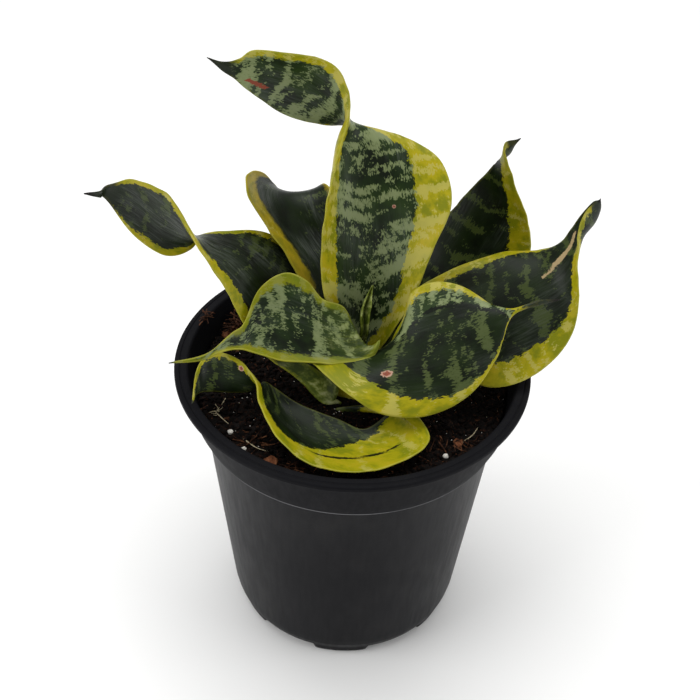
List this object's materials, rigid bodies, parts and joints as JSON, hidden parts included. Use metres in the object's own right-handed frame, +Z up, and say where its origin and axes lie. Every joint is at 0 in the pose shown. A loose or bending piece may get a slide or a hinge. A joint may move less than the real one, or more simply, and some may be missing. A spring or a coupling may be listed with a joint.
{
  "type": "potted snake plant",
  "caption": "Low rosette snake plant with broad, twisting, gold-margined green leaves, growing from dark potting soil in a black plastic nursery pot.",
  "frame": {"origin": "middle of the pot's underside, on the plane it stands on", "axes": "+Z up along the pot's axis; -Y is the front, the side the low drooping leaf lies on; +X to the right seen from the front"},
  "size_m": [0.2187, 0.1749, 0.2932],
  "materials": {
    "pot_plastic": "satin black polypropylene",
    "potting_soil": "rough, crumbly, damp peat mix",
    "rhizome": "fibrous, matt",
    "root": "fibrous, matt",
    "leaf": "waxy semi-gloss, banded dark green with yellow margins",
    "bark": "rough, matt",
    "perlite": "rough, matt white"
  },
  "bodies": {
    "root": {"nursery_pot": "pot_plastic", "potting_soil": "potting_soil", "rhizome": "rhizome", "root_1": "root", "root_2": "root", "root_3": "root", "root_4": "root", "leaf_tall_centre": "leaf", "leaf_left_twisted": "leaf", "leaf_left_cup": "leaf", "leaf_front_low": "leaf", "leaf_right_cup": "leaf", "leaf_right_wide": "leaf", "leaf_right_back": "leaf", "leaf_back_arched": "leaf", "leaf_small_inner": "leaf", "leaf_young_spike": "leaf", "bark_chip_1": "bark", "bark_chip_2": "bark", "bark_chip_3": "bark", "bark_chip_4": "bark", "bark_chip_5": "bark", "bark_chip_6": "bark", "perlite_grain_1": "perlite", "perlite_grain_2": "perlite", "perlite_grain_3": "perlite", "perlite_grain_4": "perlite", "perlite_grain_5": "perlite", "perlite_grain_6": "perlite"}
  },
  "joints": []
}
